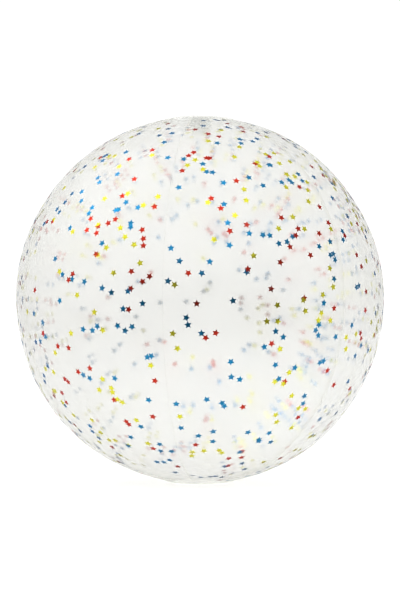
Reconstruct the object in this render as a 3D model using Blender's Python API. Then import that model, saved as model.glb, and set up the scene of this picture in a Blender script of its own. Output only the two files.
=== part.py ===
"""Inflatable beach ball of clear film, full of foil confetti stars.

Six gore panels with inward-turned weld fins meet under a round patch at each
pole.  The upper patch carries a push-in valve: a flange, a rolling collar, a
stem with a check flap at its inner end, and a tethered plug at its mouth.
Metres, +Z up, polar axis on Z, the resting face of the lower patch at z = 0.
"""

import math
import random

import bmesh
import bpy
from mathutils import Matrix, Vector

MM = 0.001

# Ball
BALL_RADIUS = 175.0 * MM
FILM = 0.3 * MM
GAP = 0.3 * MM
GORES = 6
FIRST_SEAM = math.radians(-71.0)    # from -Y, turning towards +X
SEGMENTS_PER_GORE = 8
RINGS = 22
TIP_ANGLE = math.radians(8.5)       # where the panels stop short of each pole
FIN_HEIGHT = 4.0 * MM

# Pole patches
PATCH_FILM = 0.4 * MM
PATCH_LIFT = 0.3 * MM
PATCH_RADIUS = 32.0 * MM
FLAT_RADIUS = 20.0 * MM             # the flat middle, which the ball also stands on
PATCH_STEPS = 3                     # facets between the flat middle and the rim
VALVE_HOLE = 11.0 * MM

# Valve, as depths below the outer face of the upper patch
FLANGE_OUTER = 17.0 * MM
FLANGE_BORE = 11.3 * MM
FLANGE_LOW = 0.7 * MM
FLANGE_HIGH = 1.5 * MM
FLANGE_CHAMFER = 0.3 * MM
STEM_RADIUS = 6.0 * MM
STEM_BORE = 4.0 * MM
STEM_MOUTH = 1.6 * MM
STEM_INNER_END = 16.6 * MM
STEM_LIP = 6.8 * MM
STEM_ROOT = 7.2 * MM
RIM_HEIGHT = 1.0 * MM
COLLAR_OUTER = 11.0 * MM
COLLAR_NECK = 7.9 * MM
COLLAR_WALL = 0.4 * MM
COLLAR_LOW = 0.9 * MM
COLLAR_BEND = 6.0 * MM
COLLAR_HIGH = 15.9 * MM
PLUG_FACE = 0.3 * MM
PLUG_CAP = 1.0 * MM
PLUG_RADIUS = 7.0 * MM
PLUG_CHAMFER = 0.25 * MM
PEG_BASE = 3.4 * MM
PEG_TIP = 2.9 * MM
PEG_END = 5.0 * MM
STRAP_WIDTH = 3.6 * MM
STRAP_THICKNESS = 0.8 * MM
STRAP_OVERLAP = 1.5 * MM            # how far the strap runs into the cap
STRAP_FACETS = 8
PLUG_HINGE_X = -9.4 * MM
TETHER_BORE = 6.3 * MM
TETHER_OUTER = 8.0 * MM
TETHER_LOW = 2.9 * MM
TETHER_HIGH = 4.1 * MM
TETHER_ARM_END = -10.0 * MM
LEG_REST = 0.1 * MM                 # how far the leg stands past the strap's round end
FLAP_RADIUS = 4.9 * MM
FLAP_THICKNESS = 0.6 * MM
FLAP_HINGE_X = -5.6 * MM
FLAP_TAB_WIDTH = 3.0 * MM
FLAP_FACETS = 20

# Confetti
STAR_POINTS = 5
STAR_RADIUS = 3.5 * MM              # 6.7 mm from tip to tip
STAR_WAIST = 0.48                   # inner radius over outer radius
STAR_FOIL = 0.2 * MM
STAR_DEPTH = 1.5 * MM               # below the ball's outer radius
STARS_PER_COLOUR = 15
STAR_SPACING = 30.0 * MM
STAR_SEAM_CLEARANCE = 6.0 * MM
STAR_POLE_ANGLE = math.radians(20.0)
STAR_SEED = 11

FINE = 48                           # facets round the patches
COARSE = 24                         # facets round the stem

PATCH_OUTER_RADIUS = BALL_RADIUS + PATCH_LIFT + PATCH_FILM
CENTRE = Vector((0.0, 0.0, math.sqrt(PATCH_OUTER_RADIUS ** 2 - FLAT_RADIUS ** 2)))
TOP = 2 * CENTRE.z
VALVE_FRAME = Matrix.Translation((0.0, 0.0, TOP)) @ Matrix.Rotation(math.pi, 4, "X")
PLUG_HINGE = Vector((PLUG_HINGE_X, 0.0, PLUG_FACE + STRAP_THICKNESS / 2))
FLAP_LOW = STEM_INNER_END + GAP
FLAP_HINGE = Vector((FLAP_HINGE_X, 0.0, FLAP_LOW + FLAP_THICKNESS / 2))


def clear_scene():
    for item in list(bpy.data.objects):
        bpy.data.objects.remove(item, do_unlink=True)


def make_material(name, colour, roughness, metallic=0.0, alpha=1.0):
    material = bpy.data.materials.new(name)
    material.use_nodes = True
    shader = material.node_tree.nodes["Principled BSDF"]
    shader.inputs["Base Color"].default_value = (*colour, 1.0)
    shader.inputs["Roughness"].default_value = roughness
    shader.inputs["Metallic"].default_value = metallic
    shader.inputs["Alpha"].default_value = alpha
    return material


def finish(name, bm, material, origin=Vector(), parent=None):
    """Turn a bmesh in world space into an object whose origin is at origin."""
    bmesh.ops.recalc_face_normals(bm, faces=bm.faces)
    bmesh.ops.translate(bm, verts=bm.verts, vec=-origin)
    mesh = bpy.data.meshes.new(name)
    bm.to_mesh(mesh)
    bm.free()
    mesh.shade_smooth()
    mesh.set_sharp_from_angle(angle=math.radians(35.0))
    mesh.materials.append(material)
    item = bpy.data.objects.new(name, mesh)
    bpy.context.scene.collection.objects.link(item)
    item.parent = parent
    item.location = origin - (parent.location if parent else Vector())
    return item


def finish_valve(name, bm, material, origin=Vector(), parent=None):
    """Finish a valve piece whose heights are depths below the upper patch."""
    bmesh.ops.transform(bm, matrix=VALVE_FRAME, verts=bm.verts)
    return finish(name, bm, material, VALVE_FRAME @ origin, parent)


def make_joint_frame(name, origin):
    frame = bpy.data.objects.new(name, None)
    bpy.context.scene.collection.objects.link(frame)
    frame.location = origin
    frame.empty_display_size = 10.0 * MM
    return frame


def compass(azimuth, polar):
    """Unit vector at an azimuth from -Y towards +X and an angle down from +Z."""
    return Vector((
        math.sin(polar) * math.sin(azimuth),
        -math.sin(polar) * math.cos(azimuth),
        math.cos(polar),
    ))


def skin_faces(bm, rings, closed_rings=True):
    """Quads between each ring of vertices and the next one."""
    count = len(rings[0])
    last = count if closed_rings else count - 1
    for ring, following in zip(rings, rings[1:]):
        for k in range(last):
            n = (k + 1) % count
            corners = dict.fromkeys((ring[k], ring[n], following[n], following[k]))
            if len(corners) > 2:
                bm.faces.new(list(corners))


def turned(profile, segments, start=0.0):
    """Bmesh of a closed (radius, height) profile turned about the Z axis."""
    bm = bmesh.new()
    rings = []
    for radius, height in profile:
        if radius == 0.0:
            rings.append([bm.verts.new((0.0, 0.0, height))] * segments)
            continue
        ring = []
        for k in range(segments):
            azimuth = start + math.tau * k / segments
            ring.append(bm.verts.new(
                (radius * math.sin(azimuth), -radius * math.cos(azimuth), height)))
        rings.append(ring)
    rings.append(rings[0])
    skin_faces(bm, rings)
    return bm


def gore_section(left, right, polar):
    """One ring of a gore: outer arc, right fin, inner arc, left fin."""
    def at(radius, azimuth):
        return CENTRE + radius * compass(azimuth, polar)

    def inset(radius, distance):
        return math.asin(distance / (radius * math.sin(polar)))

    inner = BALL_RADIUS - FILM
    fin_tip = BALL_RADIUS - FIN_HEIGHT
    face = GAP / 2
    back = GAP / 2 + FILM
    outer_start = left + inset(BALL_RADIUS, face)
    outer_end = right - inset(BALL_RADIUS, face)
    inner_start = left + inset(inner, back)
    inner_end = right - inset(inner, back)
    shares = [k / SEGMENTS_PER_GORE for k in range(SEGMENTS_PER_GORE + 1)]
    ring = [at(BALL_RADIUS, outer_start + s * (outer_end - outer_start)) for s in shares]
    ring.append(at(fin_tip, right - inset(fin_tip, face)))
    ring.append(at(fin_tip, right - inset(fin_tip, back)))
    ring += [at(inner, inner_end - s * (inner_end - inner_start)) for s in shares]
    ring.append(at(fin_tip, left + inset(fin_tip, back)))
    ring.append(at(fin_tip, left + inset(fin_tip, face)))
    return ring


def make_gore(index, material):
    left = FIRST_SEAM + math.tau * index / GORES
    right = left + math.tau / GORES
    bm = bmesh.new()
    rings = []
    for step in range(RINGS + 1):
        polar = TIP_ANGLE + (math.pi - 2 * TIP_ANGLE) * step / RINGS
        rings.append([bm.verts.new(point) for point in gore_section(left, right, polar)])
    skin_faces(bm, rings)
    arc = SEGMENTS_PER_GORE + 1
    for ring in (rings[0], rings[-1]):
        outer = ring[:arc]
        inner = ring[arc + 2:2 * arc + 2][::-1]
        for k in range(SEGMENTS_PER_GORE):
            bm.faces.new((outer[k], outer[k + 1], inner[k + 1], inner[k]))
        bm.faces.new((outer[-1], ring[arc], ring[arc + 1], inner[-1]))
        bm.faces.new((outer[0], inner[0], ring[-2], ring[-1]))
    return finish(f"gore_panel_{index + 1}", bm, material)


def dome_height(radius):
    """Distance of the patch's outer face from the ball's middle plane."""
    return math.sqrt(PATCH_OUTER_RADIUS ** 2 - radius ** 2)


def patch_section(hole):
    """Outer and inner line of a patch as (radius, distance from the ball's middle plane)."""
    rim_width = PATCH_RADIUS - FLAT_RADIUS
    rim = [FLAT_RADIUS + rim_width * k / PATCH_STEPS for k in range(PATCH_STEPS + 1)]
    outer = [(hole, CENTRE.z)]
    outer += [(radius, dome_height(radius)) for radius in rim]
    inner = [(r, z - PATCH_FILM) for r, z in reversed(outer)]
    return outer + inner


def make_patch(name, side, hole, material):
    """A pole patch: side is +1 for the upper one and -1 for the lower one."""
    profile = [(r, CENTRE.z + side * z) for r, z in patch_section(hole)]
    return finish(name, turned(profile, FINE, FIRST_SEAM), material)


def make_flange(material):
    profile = [
        (FLANGE_BORE, FLANGE_LOW), (FLANGE_OUTER, FLANGE_LOW),
        (FLANGE_OUTER, FLANGE_HIGH - FLANGE_CHAMFER),
        (FLANGE_OUTER - FLANGE_CHAMFER, FLANGE_HIGH),
        (FLANGE_BORE, FLANGE_HIGH),
    ]
    return finish_valve("valve_flange", turned(profile, FINE), material)


def make_collar(material):
    wall = COLLAR_WALL
    profile = [
        (COLLAR_OUTER, COLLAR_LOW), (COLLAR_OUTER, COLLAR_BEND),
        (COLLAR_NECK, COLLAR_HIGH), (COLLAR_NECK - wall, COLLAR_HIGH),
        (COLLAR_OUTER - wall, COLLAR_BEND), (COLLAR_OUTER - wall, COLLAR_LOW),
    ]
    return finish_valve("valve_collar", turned(profile, COARSE), material)


def make_stem(material, parent):
    profile = [
        (STEM_BORE, STEM_MOUTH), (STEM_LIP, STEM_MOUTH),
        (STEM_LIP, STEM_MOUTH + RIM_HEIGHT), (STEM_RADIUS, STEM_MOUTH + RIM_HEIGHT),
        (STEM_RADIUS, STEM_INNER_END - RIM_HEIGHT), (STEM_ROOT, STEM_INNER_END - RIM_HEIGHT),
        (STEM_ROOT, STEM_INNER_END), (STEM_BORE, STEM_INNER_END),
    ]
    return finish_valve("valve_stem", turned(profile, COARSE), material, parent=parent)


def add_box(bm, low, high):
    size = Vector(high) - Vector(low)
    middle = (Vector(high) + Vector(low)) / 2
    place = Matrix.Translation(middle) @ Matrix.Diagonal((*size, 1.0))
    bmesh.ops.create_cube(bm, size=1.0, matrix=place)


def unite(item, tools):
    """Boolean-join tools to item, then hide them from the model."""
    for tool in tools:
        modifier = item.modifiers.new("union", "BOOLEAN")
        modifier.operation = "UNION"
        modifier.solver = "EXACT"
        modifier.object = tool
        tool.hide_render = True
        tool.display_type = "WIRE"


def make_tether_ring(material, parent):
    ring_profile = [
        (TETHER_BORE, TETHER_LOW), (TETHER_OUTER, TETHER_LOW),
        (TETHER_OUTER, TETHER_HIGH), (TETHER_BORE, TETHER_HIGH),
    ]
    ring = finish_valve("tether_ring", turned(ring_profile, COARSE), material, parent=parent)
    half = STRAP_WIDTH / 2
    leg_inner = PLUG_HINGE_X + STRAP_THICKNESS / 2 + LEG_REST
    arm = bmesh.new()
    add_box(arm, (TETHER_ARM_END, -half, TETHER_LOW), (-TETHER_BORE - GAP, half, TETHER_HIGH))
    arm_tool = finish_valve("tether_arm_tool", arm, material)
    leg = bmesh.new()
    leg_low = PLUG_FACE + STRAP_THICKNESS + GAP
    add_box(leg, (TETHER_ARM_END, -half, leg_low), (leg_inner, half, TETHER_LOW + GAP))
    leg_tool = finish_valve("tether_leg_tool", leg, material)
    unite(ring, (arm_tool, leg_tool))
    return ring


def make_plug(material, parent):
    top = PLUG_FACE + PLUG_CAP
    profile = [
        (0.0, PLUG_FACE), (PLUG_RADIUS - PLUG_CHAMFER, PLUG_FACE),
        (PLUG_RADIUS, PLUG_FACE + PLUG_CHAMFER), (PLUG_RADIUS, top),
        (PEG_BASE, top), (PEG_TIP, PEG_END - PLUG_CHAMFER),
        (PEG_TIP - PLUG_CHAMFER, PEG_END), (0.0, PEG_END),
    ]
    plug = finish_valve("plug", turned(profile, COARSE), material, PLUG_HINGE, parent)
    half = STRAP_WIDTH / 2
    round_end = STRAP_THICKNESS / 2
    outline = []
    for step in range(STRAP_FACETS + 1):
        angle = math.pi / 2 + math.pi * step / STRAP_FACETS
        outline.append((PLUG_HINGE.x + round_end * math.cos(angle),
                        PLUG_HINGE.z + round_end * math.sin(angle)))
    outline.append((-PLUG_RADIUS + STRAP_OVERLAP, PLUG_FACE))
    outline.append((-PLUG_RADIUS + STRAP_OVERLAP, PLUG_FACE + STRAP_THICKNESS))
    strap = bmesh.new()
    near = [strap.verts.new((x, -half, z)) for x, z in outline]
    far = [strap.verts.new((x, half, z)) for x, z in outline]
    skin_faces(strap, [near, far])
    strap.faces.new(near)
    strap.faces.new(far)
    unite(plug, (finish_valve("strap_tool", strap, material),))
    return plug


def make_flap(material, parent):
    """Disc with a straight tab that reaches back to its hinge line."""
    half = FLAP_TAB_WIDTH / 2
    meet = math.asin(half / FLAP_RADIUS)
    outline = [(FLAP_HINGE_X - FLAP_THICKNESS / 2, -half)]
    for step in range(FLAP_FACETS + 1):
        angle = -math.pi + meet + (math.tau - 2 * meet) * step / FLAP_FACETS
        outline.append((FLAP_RADIUS * math.cos(angle), FLAP_RADIUS * math.sin(angle)))
    outline.append((FLAP_HINGE_X - FLAP_THICKNESS / 2, half))
    bm = bmesh.new()
    low = [bm.verts.new((x, y, FLAP_LOW)) for x, y in outline]
    high = [bm.verts.new((x, y, FLAP_LOW + FLAP_THICKNESS)) for x, y in outline]
    skin_faces(bm, [low, high])
    bm.faces.new(low)
    bm.faces.new(high)
    return finish_valve("check_flap", bm, material, FLAP_HINGE, parent)


def seam_distance(direction):
    """Distance from a point of the ball's surface to the nearest seam plane."""
    distances = []
    for index in range(GORES // 2):
        seam = FIRST_SEAM + math.tau * index / GORES
        across = Vector((math.cos(seam), math.sin(seam), 0.0))
        distances.append(abs(BALL_RADIUS * direction.dot(across)))
    return min(distances)


def star_places(count):
    """Scattered unit vectors, clear of the seams, the poles and each other."""
    source = random.Random(STAR_SEED)
    places = []
    while len(places) < count:
        height = source.uniform(-1.0, 1.0)
        direction = compass(source.uniform(0.0, math.tau), math.acos(height))
        near_pole = math.sqrt(1.0 - height ** 2) < math.sin(STAR_POLE_ANGLE)
        if near_pole or seam_distance(direction) < STAR_SEAM_CLEARANCE:
            continue
        if all((direction - other).length * BALL_RADIUS > STAR_SPACING for other in places):
            places.append(direction)
    return places


def make_star(name, direction, spin, material):
    """A flat foil star lying along the wall, its outer face towards the film."""
    bm = bmesh.new()
    outline = []
    for k in range(2 * STAR_POINTS):
        radius = STAR_RADIUS * (STAR_WAIST if k % 2 else 1.0)
        angle = math.pi * k / STAR_POINTS
        outline.append((radius * math.cos(angle), radius * math.sin(angle)))
    low = [bm.verts.new((x, y, -STAR_FOIL)) for x, y in outline]
    high = [bm.verts.new((x, y, 0.0)) for x, y in outline]
    skin_faces(bm, [low, high])
    bm.faces.new(low)
    bm.faces.new(high)
    star = finish(name, bm, material)
    turn = direction.to_track_quat("Z", "Y").to_matrix() @ Matrix.Rotation(spin, 3, "Z")
    star.rotation_euler = turn.to_euler()
    star.location = CENTRE + direction * (BALL_RADIUS - STAR_DEPTH)
    return star


def make_stars(foils):
    places = star_places(STARS_PER_COLOUR * len(foils))
    source = random.Random(STAR_SEED + 1)
    colours = list(foils)
    for k, direction in enumerate(places):
        colour = colours[k % len(colours)]
        name = f"star_{colour}_{k // len(colours) + 1:02d}"
        make_star(name, direction, source.uniform(0.0, math.tau), foils[colour])


def main():
    clear_scene()
    film = make_material("clear_film", (0.93, 0.93, 0.91), 0.12, alpha=0.25)
    soft = make_material("valve_vinyl", (0.90, 0.91, 0.90), 0.30, alpha=0.6)
    foils = {
        "blue": make_material("foil_blue", (0.02, 0.25, 0.55), 0.22, metallic=1.0),
        "red": make_material("foil_red", (0.62, 0.05, 0.06), 0.22, metallic=1.0),
        "gold": make_material("foil_gold", (0.80, 0.62, 0.06), 0.22, metallic=1.0),
    }
    for index in range(GORES):
        make_gore(index, film)
    make_patch("pole_patch_top", 1, VALVE_HOLE, film)
    make_patch("pole_patch_bottom", -1, 0.0, film)
    make_flange(soft)
    make_collar(soft)
    slide = make_joint_frame("stem_slide", Vector((0.0, 0.0, TOP - STEM_MOUTH)))
    make_stem(soft, slide)
    make_tether_ring(soft, slide)
    make_plug(soft, slide)
    make_flap(soft, slide)
    make_stars(foils)


main()
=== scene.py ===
"""Looks of the clear beach ball with foil confetti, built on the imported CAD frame.

The faceted film panels, patches and valve are replaced by smooth ones with
weld fins, puckers and packing creases.  The CAD stars stay and get a foil
finish, and the rest of the confetti is scattered along the inner wall.
"""

import math
import random

import bmesh
import bpy
from mathutils import Matrix, Vector, noise


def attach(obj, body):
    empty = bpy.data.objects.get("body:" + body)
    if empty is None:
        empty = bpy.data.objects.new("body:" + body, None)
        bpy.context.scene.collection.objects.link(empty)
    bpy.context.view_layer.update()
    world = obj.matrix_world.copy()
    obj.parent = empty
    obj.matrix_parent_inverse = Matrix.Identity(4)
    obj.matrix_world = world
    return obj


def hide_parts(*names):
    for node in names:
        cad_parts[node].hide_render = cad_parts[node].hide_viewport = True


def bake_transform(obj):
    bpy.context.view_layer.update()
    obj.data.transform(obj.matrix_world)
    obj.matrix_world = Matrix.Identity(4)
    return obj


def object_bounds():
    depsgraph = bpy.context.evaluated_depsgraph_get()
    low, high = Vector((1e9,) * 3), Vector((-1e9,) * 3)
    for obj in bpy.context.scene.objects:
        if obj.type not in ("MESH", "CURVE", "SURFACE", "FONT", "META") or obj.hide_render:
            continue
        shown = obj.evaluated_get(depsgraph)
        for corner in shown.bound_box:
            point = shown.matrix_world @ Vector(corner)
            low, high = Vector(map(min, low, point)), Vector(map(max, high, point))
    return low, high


MM = 0.001

# Ball, as in the CAD part
BALL_RADIUS = 175.0 * MM
GORES = 6
FIRST_SEAM = math.radians(-71.0)    # from -Y, turning towards +X
TIP_ANGLE = math.radians(8.5)
FIN_HEIGHT = 4.0 * MM
FIN_GAP = 0.05 * MM                 # half the gap between two neighbouring fins
PATCH_RADIUS = 32.0 * MM
PATCH_FILM = 0.4 * MM
PATCH_LIFT = 0.3 * MM
FLAT_RADIUS = 20.0 * MM
VALVE_HOLE = 11.0 * MM

# Valve, as depths below the outer face of the upper patch
FLANGE_OUTER = 17.0 * MM
FLANGE_BORE = 11.3 * MM
FLANGE_LOW = 0.7 * MM
FLANGE_HIGH = 1.5 * MM
STEM_RADIUS = 6.0 * MM
STEM_BORE = 4.0 * MM
STEM_MOUTH = 1.6 * MM
STEM_INNER_END = 16.6 * MM
STEM_LIP = 6.8 * MM
STEM_ROOT = 7.2 * MM
RIM_HEIGHT = 1.0 * MM
COLLAR_OUTER = 11.0 * MM
COLLAR_NECK = 7.9 * MM
COLLAR_WALL = 0.4 * MM
COLLAR_LOW = 0.9 * MM
COLLAR_BEND = 6.0 * MM
COLLAR_HIGH = 15.9 * MM
PLUG_FACE = 0.3 * MM
PLUG_CAP = 1.0 * MM
PLUG_RADIUS = 7.0 * MM
PEG_BASE = 3.4 * MM
PEG_TIP = 2.9 * MM
PEG_END = 5.0 * MM
STRAP_WIDTH = 3.6 * MM
STRAP_THICKNESS = 0.8 * MM
PLUG_HINGE_X = -9.4 * MM
TETHER_BORE = 6.3 * MM
TETHER_OUTER = 8.0 * MM
TETHER_LOW = 2.9 * MM
TETHER_HIGH = 4.1 * MM
TETHER_ARM_END = -10.0 * MM
FLAP_RADIUS = 4.9 * MM
FLAP_THICKNESS = 0.6 * MM
FLAP_LOW = 16.9 * MM
FLAP_HINGE_X = -5.6 * MM
FLAP_TAB_WIDTH = 3.0 * MM
FLAP_EDGE = 0.15 * MM               # bevel of the flap's edge
EDGE_ROUND = 0.25 * MM
JOIN_SUNK = 0.06 * MM               # keeps joined faces from lying in one plane

# Plug's hollow face and its peg, as radii and depths below the cap
DISH_DEPTH = 0.25 * MM
DISH_FLOOR = 4.6 * MM
DISH_RIM = 5.2 * MM
BEAD_START = 0.9 * MM
BEAD_CREST = 1.3 * MM
BEAD_END = 1.7 * MM
BEAD_RISE = 0.15 * MM
PEG_WAIST = 0.1 * MM                # how much thinner the peg is past its bead
PEG_HOLLOW = 0.6 * MM
PEG_HOLLOW_BASE = 1.8 * MM
PEG_HOLLOW_MOUTH = 1.9 * MM

# Film surface
PANEL_COLUMNS = 64
PANEL_ROWS = 190
SEAM_DIP = 0.12 * MM
SEAM_DIP_WIDTH = 9.0 * MM
PUCKER_HEIGHT = 0.12 * MM
PUCKER_REACH = 12.0 * MM
PUCKER_PITCH = 8.0 * MM
SWELL_HEIGHT = 0.9 * MM
PUCKER_WANDER = 1.6                 # waves that the puckers stray along a seam
PUCKER_MEAN = 0.5
PUCKER_SPREAD = 0.9
SWELL_BIAS = 0.3                    # the swell is mostly inwards
WANDER_SCALE = 9.0
PUCKER_SCALE = 14.0
SWELL_SCALE = 2.2
SLEEVE_FOLD = 0.12 * MM
SLEEVE_FOLD_PITCH = 2.4 * MM
SLEEVE_GAP = 0.12 * MM              # inside the flange's bore
PATCH_RINGS = (27.0 * MM, 29.5 * MM)
PATCH_RING_DEPTH = 0.12 * MM
PATCH_RING_WIDTH = 0.5 * MM

# Confetti
STAR_POINTS = 5
STAR_RADIUS = 3.5 * MM
STAR_WAIST = 0.48
FOIL = 0.06 * MM
STAR_CROWN = 0.05 * MM              # how far a star's middle stands out
STAR_INSET = (0.15 * MM, 0.28 * MM)
STAR_TILT = math.radians(2.0)
LOOSE_STARS = 1250
PLACES_SEED = 42
COLOURS_SEED = 41
POLE_CLEARANCE = 37.0 * MM
SEAM_CLEARANCE = STAR_RADIUS + 0.8 * MM
CROWD_BASE = 0.45                   # chance of a star where the wall is least full
CROWD_SIDE = 0.9                    # what the upper right adds to it
CROWD_RISE = 1.5
CROWD_PATCHES = 0.25
CROWD_SCALE = 2.6
GROUP_SIZES = (1, 1, 1, 1, 1, 1, 2, 2)
GROUP_STRIDE = (6.5, 20.0)          # mm from one star of a group to the next
GROUP_BEND = 0.6                    # radians, the spread of a group's turns
COLOURS = ("blue", "red", "gold")
COLOUR_SHARES = (0.45, 0.24, 0.31)
FOIL_COLOURS = ((0.0, 0.26, 0.56), (0.66, 0.030, 0.006), (1.0, 0.90, 0.02))

# Film: part is seen straight through, part through two widths of haze
FILM_TINT = (0.909, 0.910, 0.893, 1.0)
WELD_TINT = (0.985, 0.985, 0.975, 1.0)
NARROW_IOR = 1.018
NARROW_ROUGHNESS = 0.4
MEDIUM_IOR = 1.08
MEDIUM_ROUGHNESS = 0.6
WIDE_SHARE = 0.08
HAZE_FALL = 1.3                     # how fast the haze clears towards the rim
GLOSS_ROUGHNESS = 0.2
GLOSS_RISE = 4.0                    # how late the gloss rises towards the rim
CREASES = (((0.10, -0.274, 0.957), 1.0), ((0.885, -0.42, 0.204), 0.5))
CREASE_WANDER = 6.0 * MM
CREASE_WIDTH = 1.6 * MM
CREASE_WEIGHT = 1.2
WOBBLE_SCALE = 8.0
WAVE_SCALE = 22.0
WAVE_WEIGHT = 2.0
FILM_BUMP = 0.4 * MM
FILM_BUMP_STRENGTH = 0.3

# Foil and vinyl
FOIL_EDGE_TINT = (0.03, 0.03, 0.03, 1.0)
FOIL_TONES = (0.82, 1.15)           # darkest and lightest, times the foil's colour
FOIL_ROUGHNESS = (0.2, 0.2)         # lowest, and how much the noise adds
STREAK_SCALE = 900.0
SMEAR_SCALE = 350.0
CRINKLE_SCALE = 120.0
CRINKLE_HEIGHT = 1.0 * MM
VINYL_DARK = (0.84, 0.85, 0.84, 1.0)
VINYL_LIGHT = (0.93, 0.94, 0.93, 1.0)
VINYL_ROUGHNESS = (0.25, 0.2)
VINYL_CLEARNESS = 0.55
VINYL_SOFTNESS = 0.3                # share of light scattered under the surface
VINYL_DEPTH = 1.5 * MM
VINYL_GRAIN = 0.05 * MM
VINYL_GRAIN_STRENGTH = 0.2
CLOUD_SCALE = 220.0
GRAIN_SCALE = 1500.0

# Studio: a direction, the two cosines of its soft edge, and what it adds to 1.0
DARK_SIDE = ((0.0, -1.0, -0.12), 0.4, 0.92, -1.0)   # behind the camera, only mirrored
SKY_AREAS = (
    ((1.0, -0.1, -0.1), 0.3, 0.9, -0.5),        # dimmer right-hand wall
    ((-0.61, 0.18, 0.77), 0.85, 0.98, 1.9),     # lamp at the upper left
    ((0.0, -0.70, 0.72), 0.80, 0.97, 1.3),      # lamp above the camera
)
SKY_SEEN = 1.05
FLOOR_SIZE = 12.0
FLOOR_COLOUR = (0.88, 0.88, 0.88, 1.0)
# painted shade for the stars' reflections: the floor in front of the ball is near black to
# mirrored rays
PAINTED_SHADE_START = -0.35            # Y where the floor's painted shade begins; only mirrored rays see it
PAINTED_SHADE_FULL = -0.60
PAINTED_SHADE_COLOUR = (0.05, 0.05, 0.05, 1.0)
FLOOR_GLOW = 0.1
WHITE = (1.0, 1.0, 1.0, 1.0)

CAMERA_DISTANCE = 2.4
SENSOR_WIDTH = 36.0
FRAME_FILL = 0.92                   # the ball's share of the frame's width
FRAME_ASPECT = 1.5                  # the frame's height over its width

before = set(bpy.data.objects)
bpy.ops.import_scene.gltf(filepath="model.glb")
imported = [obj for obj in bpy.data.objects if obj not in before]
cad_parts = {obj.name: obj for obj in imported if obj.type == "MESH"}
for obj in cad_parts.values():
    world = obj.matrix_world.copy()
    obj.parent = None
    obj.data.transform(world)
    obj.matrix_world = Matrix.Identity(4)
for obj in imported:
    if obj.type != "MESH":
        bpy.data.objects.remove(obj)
cad_low, cad_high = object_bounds()
TOP = cad_high[2]
CENTRE = Vector((0.0, 0.0, TOP / 2))


# ---------------------------------------------------------------- shapes

def compass(azimuth, polar):
    """Unit vector at an azimuth from -Y towards +X and an angle down from +Z."""
    return Vector((
        math.sin(polar) * math.sin(azimuth),
        -math.sin(polar) * math.cos(azimuth),
        math.cos(polar),
    ))


def seam_gap(direction):
    """Distance along the wall from a direction to the nearest seam."""
    distances = []
    for index in range(GORES // 2):
        seam = FIRST_SEAM + math.tau * index / GORES
        across = Vector((math.cos(seam), math.sin(seam), 0.0))
        distances.append(abs(BALL_RADIUS * direction.dot(across)))
    return min(distances)


def wall_radius(direction):
    """The film's distance from the ball's centre, with seam valleys and puckers."""
    gap = seam_gap(direction)
    polar = math.acos(max(-1.0, min(1.0, direction.z)))
    along = BALL_RADIUS * polar
    wander = noise.noise(direction * WANDER_SCALE)
    dip = SEAM_DIP * math.exp(-(gap / SEAM_DIP_WIDTH) ** 2)
    ripple = math.sin(math.tau * (along / PUCKER_PITCH + PUCKER_WANDER * wander))
    patchy = noise.noise(direction * PUCKER_SCALE + Vector((7.0, 0.0, 0.0)))
    strength = PUCKER_MEAN + PUCKER_SPREAD * patchy
    pucker = PUCKER_HEIGHT * strength * ripple * math.exp(-(gap / PUCKER_REACH) ** 2)
    slow = noise.noise(direction * SWELL_SCALE + Vector((0.0, 3.0, 5.0)))
    swell = SWELL_HEIGHT * (slow - SWELL_BIAS)
    fade = min(1.0, (math.sin(polar) * BALL_RADIUS / POLE_CLEARANCE) ** 4)
    return BALL_RADIUS + fade * (pucker - dip + swell)


def new_object(name, bm, material, body, slot, *replaced):
    bmesh.ops.recalc_face_normals(bm, faces=bm.faces)
    mesh = bpy.data.meshes.new(name)
    bm.to_mesh(mesh)
    bm.free()
    mesh.shade_smooth()
    mesh.set_sharp_from_angle(angle=math.radians(40.0))
    mesh.materials.append(material)
    item = bpy.data.objects.new(name, mesh)
    bpy.context.scene.collection.objects.link(item)
    if body:
        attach(item, body)
    if replaced:
        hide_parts(*replaced)
    return item


def grid_faces(bm, rows, closed=False):
    for low, high in zip(rows, rows[1:]):
        count = len(low) if closed else len(low) - 1
        for k in range(count):
            n = (k + 1) % len(low)
            corners = list(dict.fromkeys((low[k], low[n], high[n], high[k])))
            if len(corners) > 2:
                bm.faces.new(corners)


def make_panel(index, material, weld):
    """One gore of film with the weld fin along each of its long edges."""
    left = FIRST_SEAM + math.tau * index / GORES
    right = left + math.tau / GORES
    tip = BALL_RADIUS - FIN_HEIGHT
    bm = bmesh.new()
    rows = []
    for step in range(PANEL_ROWS + 1):
        polar = TIP_ANGLE + (math.pi - 2 * TIP_ANGLE) * step / PANEL_ROWS
        inset = math.asin(FIN_GAP / (BALL_RADIUS * math.sin(polar)))
        row = []
        for column in range(PANEL_COLUMNS + 1):
            share = column / PANEL_COLUMNS
            azimuth = left + inset + share * (right - left - 2 * inset)
            direction = compass(azimuth, polar)
            row.append(CENTRE + direction * wall_radius(direction))
        fin_inset = math.asin(FIN_GAP / (tip * math.sin(polar)))
        start = CENTRE + compass(left + fin_inset, polar) * tip
        end = CENTRE + compass(right - fin_inset, polar) * tip
        rows.append([bm.verts.new(p) for p in [start] + row + [end]])
    grid_faces(bm, rows)
    fins = {vert for row in rows for vert in (row[0], row[-1])}
    for face in bm.faces:
        face.material_index = int(any(vert in fins for vert in face.verts))
    name = f"film_panel_{index + 1}"
    panel = new_object(name, bm, material, "ball", "clear_film", f"gore_panel_{index + 1}")
    panel.data.materials.append(weld)


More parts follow.
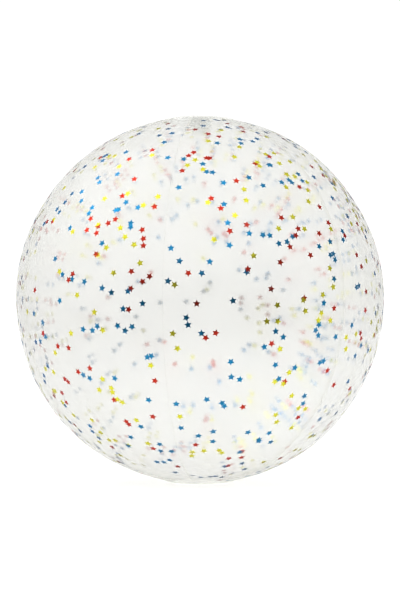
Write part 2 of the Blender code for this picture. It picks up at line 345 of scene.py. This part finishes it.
def rounded(profile):
    """A closed profile with each of its corners turned into a small curve."""
    out = []
    steps = 4
    count = len(profile)
    for k, corner in enumerate(profile):
        here = Vector(corner)
        before = Vector(profile[k - 1])
        after = Vector(profile[(k + 1) % count])
        if here.x == 0.0:
            out.append((here.x, here.y))
            continue
        shorter = min((before - here).length, (after - here).length)
        reach = min(EDGE_ROUND, 0.45 * shorter)
        start = here + (before - here).normalized() * reach
        end = here + (after - here).normalized() * reach
        for step in range(steps + 1):
            t = step / steps
            point = start.lerp(here, t).lerp(here.lerp(end, t), t)
            out.append((point.x, point.y))
    return out


def turned(profile, segments=96):
    """Bmesh of a closed (radius, height) profile turned about the Z axis."""
    bm = bmesh.new()
    rings = []
    for radius, height in profile:
        if radius == 0.0:
            rings.append([bm.verts.new((0.0, 0.0, height))] * segments)
            continue
        ring = []
        for k in range(segments):
            azimuth = math.tau * k / segments
            ring.append(bm.verts.new(
                (radius * math.sin(azimuth), -radius * math.cos(azimuth), height)))
        rings.append(ring)
    rings.append(rings[0])
    grid_faces(bm, rings, closed=True)
    return bm


def add_bar(bm, stations, half_width, half_height):
    """A bar with rounded edges along (x, z) stations, lying across Y."""
    rings = []
    corner = min(half_width, half_height) * 0.6
    for k, (x, z) in enumerate(stations):
        before = Vector(stations[max(0, k - 1)])
        after = Vector(stations[min(len(stations) - 1, k + 1)])
        along = (after - before).normalized()
        side = Vector((-along.y, along.x))
        ring = []
        for quarter in range(4):
            sy = 1 if quarter in (0, 3) else -1
            sh = 1 if quarter in (0, 1) else -1
            for step in range(4):
                angle = math.pi / 2 * (quarter + step / 3)
                y = sy * (half_width - corner) + corner * math.cos(angle)
                h = sh * (half_height - corner) + corner * math.sin(angle)
                ring.append(bm.verts.new((x + side.x * h, y, z + side.y * h)))
        rings.append(ring)
    grid_faces(bm, rings, closed=True)
    bm.faces.new(rings[0])
    bm.faces.new(rings[-1])


def valve_piece(name, bm, material, body, *replaced):
    """Finish a piece whose heights are depths below the upper patch."""
    place = Matrix.Translation((0.0, 0.0, TOP)) @ Matrix.Rotation(math.pi, 4, "X")
    bmesh.ops.transform(bm, matrix=place, verts=bm.verts)
    return new_object(name, bm, material, body, "valve_vinyl", *replaced)


def make_patch(name, side, hole, material, node_name):
    """A welded pole patch: flat middle, domed rim, two pressed weld rings."""
    sphere = BALL_RADIUS + PATCH_LIFT + PATCH_FILM
    steps = 60
    outer = []
    for step in range(steps + 1):
        radius = hole + (PATCH_RADIUS - hole) * step / steps
        height = TOP / 2
        if radius > FLAT_RADIUS:
            height = math.sqrt(sphere ** 2 - radius ** 2)
        for ring in PATCH_RINGS:
            height -= PATCH_RING_DEPTH * math.exp(-((radius - ring) / PATCH_RING_WIDTH) ** 2)
        outer.append((radius, height))
    inner = [(r, z - PATCH_FILM) for r, z in reversed(outer)]
    profile = [(r, CENTRE.z + side * z) for r, z in outer + inner]
    bm = turned(profile, 144)
    new_object(name, bm, material, "ball", "clear_film", node_name)


def make_valve(material):
    flange = [
        (FLANGE_BORE, FLANGE_LOW), (FLANGE_OUTER, FLANGE_LOW),
        (FLANGE_OUTER, FLANGE_HIGH), (FLANGE_BORE, FLANGE_HIGH),
    ]
    valve_piece("valve_base", turned(rounded(flange), 144), material, "ball", "valve_flange")

    stem = [
        (STEM_BORE, STEM_MOUTH), (STEM_LIP, STEM_MOUTH),
        (STEM_LIP, STEM_MOUTH + RIM_HEIGHT), (STEM_RADIUS, STEM_MOUTH + RIM_HEIGHT),
        (STEM_RADIUS, STEM_INNER_END - RIM_HEIGHT), (STEM_ROOT, STEM_INNER_END - RIM_HEIGHT),
        (STEM_ROOT, STEM_INNER_END), (STEM_BORE, STEM_INNER_END),
    ]
    valve_piece("valve_tube", turned(rounded(stem)), material, "stem", "valve_stem")

    ring = [
        (TETHER_BORE, TETHER_LOW), (TETHER_OUTER, TETHER_LOW),
        (TETHER_OUTER, TETHER_HIGH), (TETHER_BORE, TETHER_HIGH),
    ]
    bm = turned(rounded(ring))
    half_ring = (TETHER_HIGH - TETHER_LOW) / 2
    middle = (TETHER_HIGH + TETHER_LOW) / 2
    leg_low = PLUG_FACE + STRAP_THICKNESS + 0.3 * MM
    leg_half = 0.25 * MM
    leg_x = TETHER_ARM_END + leg_half
    add_bar(bm, [(-TETHER_BORE - 0.9 * MM, middle), (TETHER_ARM_END + JOIN_SUNK, middle)],
            STRAP_WIDTH / 2, half_ring - JOIN_SUNK)
    add_bar(bm, [(leg_x, middle), (leg_x, leg_low)], STRAP_WIDTH / 2 - JOIN_SUNK, leg_half)
    valve_piece("plug_tether", bm, material, "stem", "tether_ring")

    cap = PLUG_FACE + PLUG_CAP
    plug = [
        (0.0, PLUG_FACE + DISH_DEPTH), (DISH_FLOOR, PLUG_FACE + DISH_DEPTH),
        (DISH_RIM, PLUG_FACE), (PLUG_RADIUS, PLUG_FACE), (PLUG_RADIUS, cap),
        (PEG_BASE, cap), (PEG_BASE, cap + BEAD_START),
        (PEG_BASE + BEAD_RISE, cap + BEAD_CREST), (PEG_BASE - PEG_WAIST, cap + BEAD_END),
        (PEG_TIP, PEG_END), (PEG_HOLLOW_MOUTH, PEG_END),
        (PEG_HOLLOW_BASE, cap + PEG_HOLLOW), (0.0, cap + PEG_HOLLOW),
    ]
    bm = turned(rounded(plug))
    strap_z = PLUG_FACE + STRAP_THICKNESS / 2 + JOIN_SUNK / 2
    add_bar(bm, [(PLUG_HINGE_X - 0.35 * MM, strap_z), (PLUG_HINGE_X + 0.9 * MM, strap_z),
                 (-PLUG_RADIUS + 0.9 * MM, strap_z)],
            STRAP_WIDTH / 2, (STRAP_THICKNESS - JOIN_SUNK) / 2)
    valve_piece("stopper", bm, material, "plug", "plug")

    bm = bmesh.new()
    outline = [(FLAP_HINGE_X - FLAP_THICKNESS / 2, -FLAP_TAB_WIDTH / 2)]
    meet = math.asin(FLAP_TAB_WIDTH / 2 / FLAP_RADIUS)
    steps = 72
    for step in range(steps + 1):
        angle = -math.pi + meet + (math.tau - 2 * meet) * step / steps
        outline.append((FLAP_RADIUS * math.cos(angle), FLAP_RADIUS * math.sin(angle)))
    outline.append((FLAP_HINGE_X - FLAP_THICKNESS / 2, FLAP_TAB_WIDTH / 2))
    rows = []
    for inset, depth in ((FLAP_EDGE, 0.0), (0.0, FLAP_EDGE),
                         (0.0, FLAP_THICKNESS - FLAP_EDGE), (FLAP_EDGE, FLAP_THICKNESS)):
        scale = 1.0 - inset / FLAP_RADIUS
        rows.append([bm.verts.new((x * scale, y * scale, FLAP_LOW + depth)) for x, y in outline])
    grid_faces(bm, rows, closed=True)
    bm.faces.new(rows[0])
    bm.faces.new(rows[-1])
    valve_piece("flap_disc", bm, material, "flap", "check_flap")


def make_sleeve(material):
    """The thin collar between flange and stem, which rolls as the valve moves; here it is one
    still piece tied to no moving part.
    """
    outer = []
    steps = 40
    for step in range(steps + 1):
        depth = COLLAR_LOW + (COLLAR_HIGH - COLLAR_LOW) * step / steps
        share = max(0.0, (depth - COLLAR_BEND) / (COLLAR_HIGH - COLLAR_BEND))
        smooth = share * share * (3 - 2 * share)
        fold = SLEEVE_FOLD * math.sin(math.tau * depth / SLEEVE_FOLD_PITCH)
        narrowing = (COLLAR_NECK - COLLAR_OUTER) * smooth
        outer.append((COLLAR_OUTER - SLEEVE_GAP + narrowing + fold, depth))
    inner = [(r - COLLAR_WALL, z) for r, z in reversed(outer)]
    sleeve = valve_piece("valve_sleeve", turned(outer + inner), material, None)
    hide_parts("valve_collar")
    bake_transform(sleeve)


# ---------------------------------------------------------------- materials

def new_material(name):
    material = bpy.data.materials.new(name)
    material.use_nodes = True
    tree = material.node_tree
    tree.nodes.clear()
    return material, tree


def node(tree, kind, **settings):
    item = tree.nodes.new(kind)
    for key, value in settings.items():
        setattr(item, key, value)
    return item


def link(tree, source, target):
    tree.links.new(source, target)


def mix_shader(tree, share, first, second):
    mix = node(tree, "ShaderNodeMixShader")
    if isinstance(share, float):
        mix.inputs[0].default_value = share
    else:
        link(tree, share, mix.inputs[0])
    link(tree, first.outputs[0], mix.inputs[1])
    link(tree, second.outputs[0], mix.inputs[2])
    return mix


def maths(tree, operation, *values):
    item = node(tree, "ShaderNodeMath", operation=operation)
    for socket, value in zip(item.inputs, values):
        if isinstance(value, (int, float)):
            socket.default_value = value
        else:
            link(tree, value, socket)
    return item.outputs[0]


def add_noise(tree, scale, detail=2.0):
    coords = node(tree, "ShaderNodeTexCoord")
    texture = node(tree, "ShaderNodeTexNoise")
    texture.inputs["Scale"].default_value = scale
    texture.inputs["Detail"].default_value = detail
    link(tree, coords.outputs["Object"], texture.inputs["Vector"])
    return texture.outputs["Fac"]


def crease(tree, normal, wobble):
    """Height of a thin pressed line where a plane through the centre cuts the film."""
    coords = node(tree, "ShaderNodeTexCoord")
    place = node(tree, "ShaderNodeVectorMath", operation="SUBTRACT")
    place.inputs[1].default_value = CENTRE
    link(tree, coords.outputs["Object"], place.inputs[0])
    dot = node(tree, "ShaderNodeVectorMath", operation="DOT_PRODUCT")
    dot.inputs[1].default_value = Vector(normal).normalized()
    link(tree, place.outputs["Vector"], dot.inputs[0])
    shift = maths(tree, "MULTIPLY_ADD", wobble, CREASE_WANDER, -CREASE_WANDER / 2)
    distance = maths(tree, "ADD", dot.outputs["Value"], shift)
    squeezed = maths(tree, "DIVIDE", distance, CREASE_WIDTH)
    squared = maths(tree, "MULTIPLY", squeezed, squeezed)
    return maths(tree, "EXPONENT", maths(tree, "MULTIPLY", squared, -1.0))


def film_material(name, tint, direct, medium_share, gloss_flat, gloss_edge):
    """Clear film with haze.

    direct is the share that passes straight through where the film faces the
    viewer, and medium_share the share blurred the most there.  Both haze parts
    clear towards the rim, where the gloss rises from gloss_flat by gloss_edge.
    """
    material, tree = new_material(name)
    out = node(tree, "ShaderNodeOutputMaterial")

    wobble = add_noise(tree, WOBBLE_SCALE)
    pressed = 0.0
    for normal, weight in CREASES:
        line = maths(tree, "MULTIPLY", crease(tree, normal, wobble), weight)
        pressed = maths(tree, "ADD", pressed, line)
    waves = maths(tree, "MULTIPLY", add_noise(tree, WAVE_SCALE, 1.0), WAVE_WEIGHT)
    height = maths(tree, "ADD", waves, maths(tree, "MULTIPLY", pressed, CREASE_WEIGHT))
    bump = node(tree, "ShaderNodeBump")
    bump.inputs["Strength"].default_value = FILM_BUMP_STRENGTH
    bump.inputs["Distance"].default_value = FILM_BUMP
    link(tree, height, bump.inputs["Height"])

    gloss = node(tree, "ShaderNodeBsdfAnisotropic")
    gloss.inputs["Color"].default_value = WHITE
    gloss.inputs["Roughness"].default_value = GLOSS_ROUGHNESS
    link(tree, bump.outputs[0], gloss.inputs["Normal"])

    clear = node(tree, "ShaderNodeBsdfTransparent")
    clear.inputs["Color"].default_value = tint
    narrow = node(tree, "ShaderNodeBsdfRefraction")
    narrow.inputs["Color"].default_value = tint
    narrow.inputs["IOR"].default_value = NARROW_IOR
    narrow.inputs["Roughness"].default_value = NARROW_ROUGHNESS
    medium = node(tree, "ShaderNodeBsdfRefraction")
    medium.inputs["Color"].default_value = tint
    medium.inputs["IOR"].default_value = MEDIUM_IOR
    medium.inputs["Roughness"].default_value = MEDIUM_ROUGHNESS
    wide = node(tree, "ShaderNodeBsdfTranslucent")
    wide.inputs["Color"].default_value = tint
    facing = node(tree, "ShaderNodeLayerWeight")
    facing.inputs["Blend"].default_value = 0.5
    steep = maths(tree, "POWER", facing.outputs["Facing"], HAZE_FALL)
    hazy = maths(tree, "MULTIPLY_ADD", steep, direct - 1.0, 1.0 - direct)
    spread = maths(tree, "MULTIPLY_ADD", steep, -medium_share, medium_share)
    body = mix_shader(tree, hazy, clear, narrow)
    body = mix_shader(tree, spread, body, medium)
    body = mix_shader(tree, WIDE_SHARE, body, wide)

    rise = maths(tree, "POWER", facing.outputs["Facing"], GLOSS_RISE)
    share = maths(tree, "MULTIPLY_ADD", rise, gloss_edge, gloss_flat)
    top = mix_shader(tree, share, body, gloss)
    link(tree, top.outputs[0], out.inputs[0])
    return material


def foil_material(name, colour):
    material, tree = new_material(name)
    out = node(tree, "ShaderNodeOutputMaterial")
    shader = node(tree, "ShaderNodeBsdfPrincipled")
    shader.inputs["Metallic"].default_value = 1.0
    shader.inputs["Specular Tint"].default_value = FOIL_EDGE_TINT
    streaks = add_noise(tree, STREAK_SCALE)
    tone = node(tree, "ShaderNodeMix", data_type="RGBA")
    link(tree, streaks, tone.inputs["Factor"])
    for socket, factor in zip(("A", "B"), FOIL_TONES):
        tone.inputs[socket].default_value = (*[min(1.0, factor * c) for c in colour], 1.0)
    link(tree, tone.outputs["Result"], shader.inputs["Base Color"])
    low, spread = FOIL_ROUGHNESS
    rough = maths(tree, "MULTIPLY_ADD", add_noise(tree, SMEAR_SCALE), spread, low)
    link(tree, rough, shader.inputs["Roughness"])
    crinkle = node(tree, "ShaderNodeBump")
    crinkle.inputs["Strength"].default_value = 1.0
    crinkle.inputs["Distance"].default_value = CRINKLE_HEIGHT
    link(tree, add_noise(tree, CRINKLE_SCALE, 1.0), crinkle.inputs["Height"])
    link(tree, crinkle.outputs[0], shader.inputs["Normal"])
    link(tree, shader.outputs[0], out.inputs[0])
    return material


def vinyl_material():
    material, tree = new_material("valve_vinyl")
    out = node(tree, "ShaderNodeOutputMaterial")
    shader = node(tree, "ShaderNodeBsdfPrincipled")
    cloud = add_noise(tree, CLOUD_SCALE, 3.0)
    tone = node(tree, "ShaderNodeMix", data_type="RGBA")
    link(tree, cloud, tone.inputs["Factor"])
    tone.inputs["A"].default_value = VINYL_DARK
    tone.inputs["B"].default_value = VINYL_LIGHT
    link(tree, tone.outputs["Result"], shader.inputs["Base Color"])
    low, spread = VINYL_ROUGHNESS
    rough = maths(tree, "MULTIPLY_ADD", cloud, spread, low)
    link(tree, rough, shader.inputs["Roughness"])
    shader.inputs["Subsurface Weight"].default_value = VINYL_SOFTNESS
    shader.inputs["Subsurface Radius"].default_value = (1.0, 1.0, 1.0)
    shader.inputs["Subsurface Scale"].default_value = VINYL_DEPTH
    bump = node(tree, "ShaderNodeBump")
    bump.inputs["Strength"].default_value = VINYL_GRAIN_STRENGTH
    bump.inputs["Distance"].default_value = VINYL_GRAIN
    link(tree, add_noise(tree, GRAIN_SCALE), bump.inputs["Height"])
    link(tree, bump.outputs[0], shader.inputs["Normal"])
    clear = node(tree, "ShaderNodeBsdfTransparent")
    clear.inputs["Color"].default_value = WELD_TINT
    top = mix_shader(tree, VINYL_CLEARNESS, shader, clear)
    link(tree, top.outputs[0], out.inputs[0])
    return material


# ---------------------------------------------------------------- confetti

def add_star(bm, place):
    """One star, slightly crowned, whose outer face looks along the place's Z."""
    high, low = [], []
    for j in range(2 * STAR_POINTS):
        radius = STAR_RADIUS * (STAR_WAIST if j % 2 else 1.0)
        angle = math.pi * j / STAR_POINTS
        x, y = radius * math.cos(angle), radius * math.sin(angle)
        high.append(bm.verts.new(place @ Vector((x, y, 0.0))))
        low.append(bm.verts.new(place @ Vector((x, y, -FOIL))))
    crown = bm.verts.new(place @ Vector((0.0, 0.0, STAR_CROWN)))
    hollow = bm.verts.new(place @ Vector((0.0, 0.0, STAR_CROWN - FOIL)))
    for j in range(2 * STAR_POINTS):
        n = (j + 1) % (2 * STAR_POINTS)
        bm.faces.new((crown, high[j], high[n]))
        bm.faces.new((hollow, low[n], low[j]))
        bm.faces.new((low[j], low[n], high[n], high[j]))


def clear_of_welds(direction):
    across = math.hypot(direction.x, direction.y) * BALL_RADIUS
    return across > POLE_CLEARANCE and seam_gap(direction) > SEAM_CLEARANCE


def crowding(direction):
    """How full of stars the wall is there: the chance that a group starts."""
    side = 0.5 * direction.x + 0.5 * direction.z
    patchy = noise.noise(direction * CROWD_SCALE + Vector((4.0, 1.0, 8.0)))
    return CROWD_BASE + CROWD_SIDE * max(0.0, side) ** CROWD_RISE + CROWD_PATCHES * patchy


def loose_places():
    """Directions of the loose stars: singles and straggling pairs."""
    source = random.Random(PLACES_SEED)
    places = []
    while len(places) < LOOSE_STARS:
        height = source.uniform(-1.0, 1.0)
        start = compass(source.uniform(0.0, math.tau), math.acos(height))
        if source.random() > crowding(start):
            continue
        group = source.choice(GROUP_SIZES)
        heading = Vector([source.gauss(0.0, 1.0) for _ in range(3)]).cross(start).normalized()
        here = start
        for _ in range(group):
            if clear_of_welds(here):
                places.append(here)
            stride = source.uniform(*GROUP_STRIDE) * MM / BALL_RADIUS
            bend = Vector([source.gauss(0.0, GROUP_BEND) for _ in range(3)])
            heading = (heading + bend.cross(here)).normalized()
            here = (here + stride * heading).normalized()
    return places


def make_confetti(foils):
    source = random.Random(COLOURS_SEED)
    meshes = {colour: bmesh.new() for colour in COLOURS}
    for direction in loose_places():
        colour = source.choices(COLOURS, COLOUR_SHARES)[0]
        tilt = Vector([source.uniform(-1.0, 1.0) * math.tan(STAR_TILT) for _ in range(3)])
        facing = (direction + tilt).normalized().to_track_quat("Z", "Y").to_matrix().to_4x4()
        spin = Matrix.Rotation(source.uniform(0.0, math.tau), 4, "Z")
        depth = source.uniform(*STAR_INSET)
        at = CENTRE + direction * (wall_radius(direction) - depth)
        add_star(meshes[colour], Matrix.Translation(at) @ facing @ spin)
    for colour, bm in meshes.items():
        new_object(f"confetti_{colour}", bm, foils[colour], "ball", f"foil_{colour}")


# ---------------------------------------------------------------- stage

def mirrored(tree):
    """1 for light that a star or the gloss throws back, 0 for what is seen directly."""
    path = node(tree, "ShaderNodeLightPath")
    return maths(tree, "MINIMUM", path.outputs["Glossy Depth"], 1.0)


def make_world():
    world = bpy.data.worlds.new("studio")
    bpy.context.scene.world = world
    world.use_nodes = True
    tree = world.node_tree
    tree.nodes.clear()
    out = node(tree, "ShaderNodeOutputWorld")
    coords = node(tree, "ShaderNodeTexCoord")

    def lobe(direction, low, high, strength):
        """Soft patch of the sky about a direction, between two cosines."""
        dot = node(tree, "ShaderNodeVectorMath", operation="DOT_PRODUCT")
        dot.inputs[1].default_value = Vector(direction).normalized()
        link(tree, coords.outputs["Generated"], dot.inputs[0])
        span = node(tree, "ShaderNodeMapRange", interpolation_type="SMOOTHSTEP")
        link(tree, dot.outputs["Value"], span.inputs["Value"])
        span.inputs["From Min"].default_value = low
        span.inputs["From Max"].default_value = high
        span.inputs["To Max"].default_value = strength
        return span.outputs["Result"]

    dark = maths(tree, "MULTIPLY", lobe(*DARK_SIDE), mirrored(tree))
    level = maths(tree, "ADD", 1.0, dark)
    for area in SKY_AREAS:
        level = maths(tree, "ADD", level, lobe(*area))
    level = maths(tree, "MAXIMUM", level, 0.0)
    lit = node(tree, "ShaderNodeBackground")
    lit.inputs["Color"].default_value = WHITE
    link(tree, level, lit.inputs["Strength"])
    seen = node(tree, "ShaderNodeBackground")
    seen.inputs["Color"].default_value = WHITE
    seen.inputs["Strength"].default_value = SKY_SEEN
    path = node(tree, "ShaderNodeLightPath")
    mix = mix_shader(tree, path.outputs["Is Camera Ray"], lit, seen)
    link(tree, mix.outputs[0], out.inputs[0])


def make_floor():
    material, tree = new_material("studio_floor")
    out = node(tree, "ShaderNodeOutputMaterial")
    shader = node(tree, "ShaderNodeBsdfPrincipled")
    shader.inputs["Base Color"].default_value = FLOOR_COLOUR
    shader.inputs["Roughness"].default_value = 0.9
    shader.inputs["Emission Color"].default_value = WHITE
    shader.inputs["Emission Strength"].default_value = FLOOR_GLOW
    # painted shade: in front of the ball the floor turns near black for mirrored rays only,
    # standing in for the studio's unlit side that the stars at the middle mirror
    painted_shade = node(tree, "ShaderNodeBsdfDiffuse")
    painted_shade.inputs["Color"].default_value = PAINTED_SHADE_COLOUR
    coords = node(tree, "ShaderNodeTexCoord")
    apart = node(tree, "ShaderNodeSeparateXYZ")
    link(tree, coords.outputs["Object"], apart.inputs[0])
    painted_shade_mask = node(tree, "ShaderNodeMapRange", interpolation_type="SMOOTHSTEP")
    link(tree, apart.outputs["Y"], painted_shade_mask.inputs["Value"])
    painted_shade_mask.inputs["From Min"].default_value = PAINTED_SHADE_START
    painted_shade_mask.inputs["From Max"].default_value = PAINTED_SHADE_FULL
    share = maths(tree, "MULTIPLY", painted_shade_mask.outputs["Result"], mirrored(tree))
    top = mix_shader(tree, share, shader, painted_shade)
    link(tree, top.outputs[0], out.inputs[0])
    mesh = bpy.data.meshes.new("floor")
    size = FLOOR_SIZE
    mesh.from_pydata([(-size, -size, 0), (size, -size, 0), (size, size, 0), (-size, size, 0)],
                     [], [(0, 1, 2, 3)])
    mesh.materials.append(material)
    floor = bpy.data.objects.new("floor", mesh)
    bpy.context.scene.collection.objects.link(floor)


def make_camera():
    data = bpy.data.cameras.new("camera")
    camera = bpy.data.objects.new("camera", data)
    bpy.context.scene.collection.objects.link(camera)
    half_width = math.tan(math.asin(BALL_RADIUS / CAMERA_DISTANCE)) / FRAME_FILL
    data.sensor_width = SENSOR_WIDTH
    # the sensor's width spans the frame's longer side, its height
    data.lens = data.sensor_width / 2 / (half_width * FRAME_ASPECT)
    camera.location = (0.0, -CAMERA_DISTANCE, CENTRE.z)
    camera.rotation_euler = (math.pi / 2, 0.0, 0.0)
    bpy.context.scene.camera = camera


def main():
    scene = bpy.context.scene
    scene.view_settings.view_transform = "Standard"
    scene.cycles.use_denoising = True
    scene.cycles.filter_width = 1.1
    film = film_material("clear_film", FILM_TINT, direct=0.16, medium_share=0.54,
                         gloss_flat=0.010, gloss_edge=0.3)
    weld = film_material("film_weld", WELD_TINT, direct=0.9, medium_share=0.1,
                         gloss_flat=0.02, gloss_edge=0.15)
    vinyl = vinyl_material()
    foils = {name: foil_material(f"foil_{name}", colour)
             for name, colour in zip(COLOURS, FOIL_COLOURS)}
    for index in range(GORES):
        make_panel(index, film, weld)
    make_patch("patch_top", 1, VALVE_HOLE, weld, "pole_patch_top")
    make_patch("patch_bottom", -1, 0.0, weld, "pole_patch_bottom")
    make_valve(vinyl)
    make_sleeve(vinyl)
    for name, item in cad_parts.items():
        if name.startswith("star_"):
            item.data.materials.clear()
            item.data.materials.append(foils[name.split("_")[1]])
    make_confetti(foils)
    make_world()
    make_floor()
    make_camera()


main()
